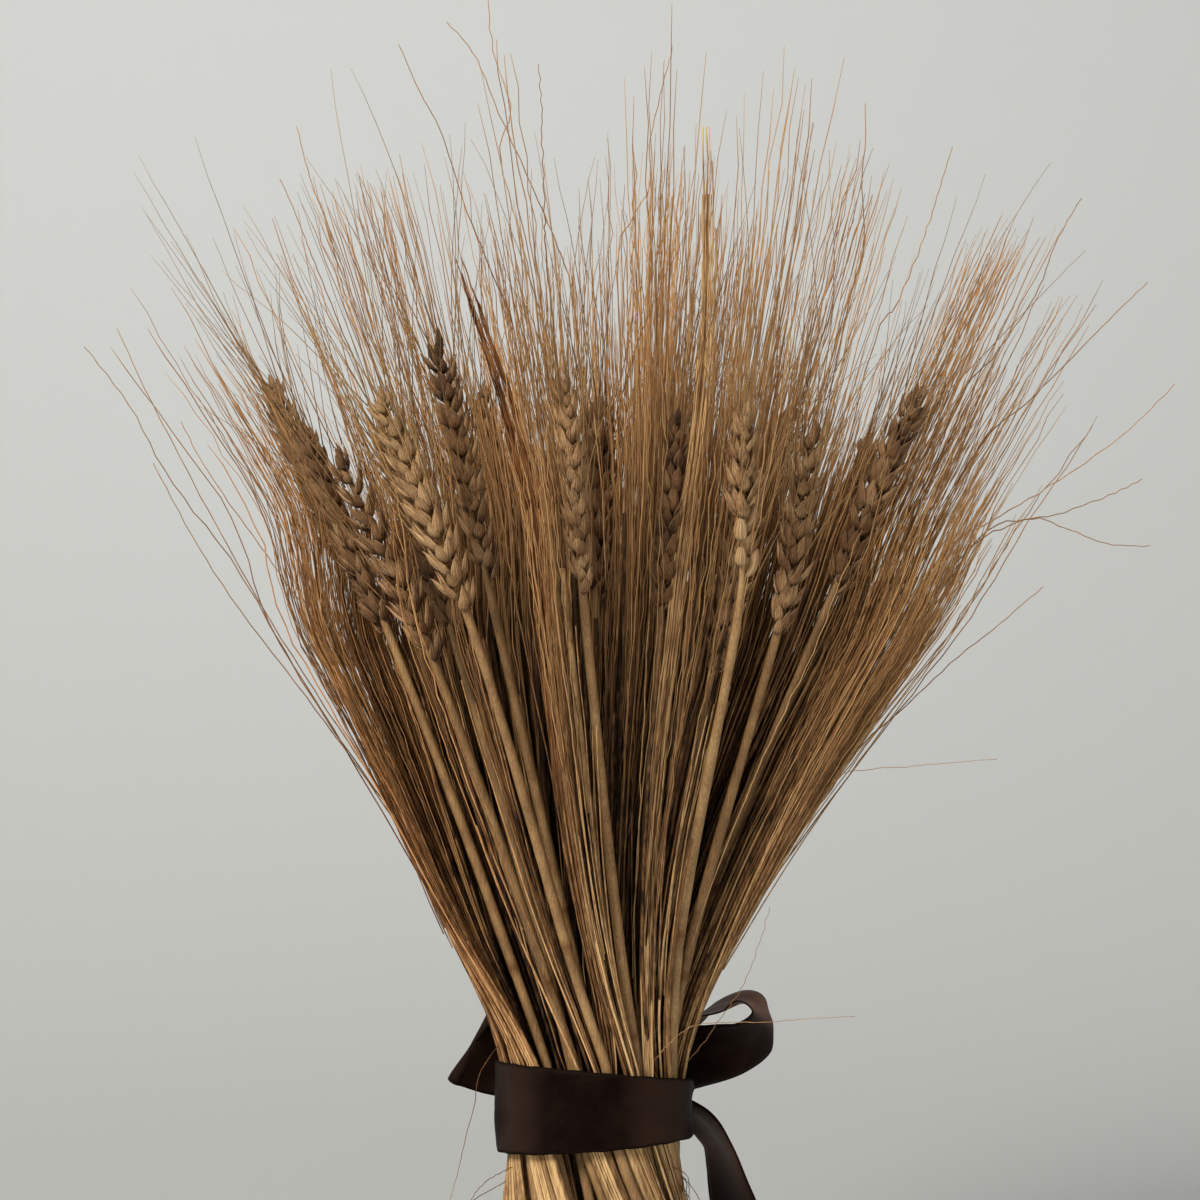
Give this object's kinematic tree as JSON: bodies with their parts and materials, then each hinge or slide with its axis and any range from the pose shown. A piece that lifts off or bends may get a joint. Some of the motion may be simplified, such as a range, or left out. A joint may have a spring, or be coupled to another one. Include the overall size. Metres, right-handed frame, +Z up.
{
  "type": "dried wheat bundle",
  "caption": "Sheaf of dried bearded wheat and fine straw, tied low with a dark satin ribbon and a bow, standing on its cut stems.",
  "frame": {"origin": "on the sheaf's axis at the cut ends of the stems, where it stands", "axes": "+Z up along the sheaf to the tips, the front faces -Y, and +X is the front view's right"},
  "size_m": [0.339, 0.2542, 0.483],
  "materials": {
    "wheat": "dry, low sheen",
    "straw": "dry, matt",
    "ribbon": "satin"
  },
  "bodies": {
    "root": {"wheat_stalk_01": "wheat", "wheat_stalk_02": "wheat", "wheat_stalk_03": "wheat", "wheat_stalk_04": "wheat", "wheat_stalk_05": "wheat", "wheat_stalk_06": "wheat", "wheat_stalk_07": "wheat", "wheat_stalk_08": "wheat", "wheat_stalk_09": "wheat", "wheat_stalk_10": "wheat", "wheat_stalk_11": "wheat", "wheat_stalk_12": "wheat", "wheat_stalk_13": "wheat", "wheat_stalk_14": "wheat", "wheat_stalk_15": "wheat", "wheat_stalk_16": "wheat", "wheat_stalk_17": "wheat", "wheat_stalk_18": "wheat", "wheat_stalk_19": "wheat", "wheat_stalk_20": "wheat", "straw_lock_01": "straw", "straw_lock_02": "straw", "straw_lock_03": "straw", "straw_lock_04": "straw", "straw_lock_05": "straw", "straw_lock_06": "straw", "straw_lock_07": "straw", "straw_lock_08": "straw", "straw_lock_09": "straw", "straw_lock_10": "straw", "straw_lock_11": "straw", "straw_lock_12": "straw", "straw_lock_13": "straw", "straw_lock_14": "straw", "straw_lock_15": "straw", "straw_lock_16": "straw", "straw_lock_17": "straw", "straw_lock_18": "straw", "straw_lock_19": "straw", "straw_lock_20": "straw", "straw_lock_21": "straw", "straw_lock_22": "straw", "straw_lock_23": "straw", "straw_lock_24": "straw", "straw_lock_25": "straw", "straw_lock_26": "straw", "straw_lock_27": "straw", "straw_lock_28": "straw", "satin_ribbon": "ribbon"}
  },
  "joints": []
}
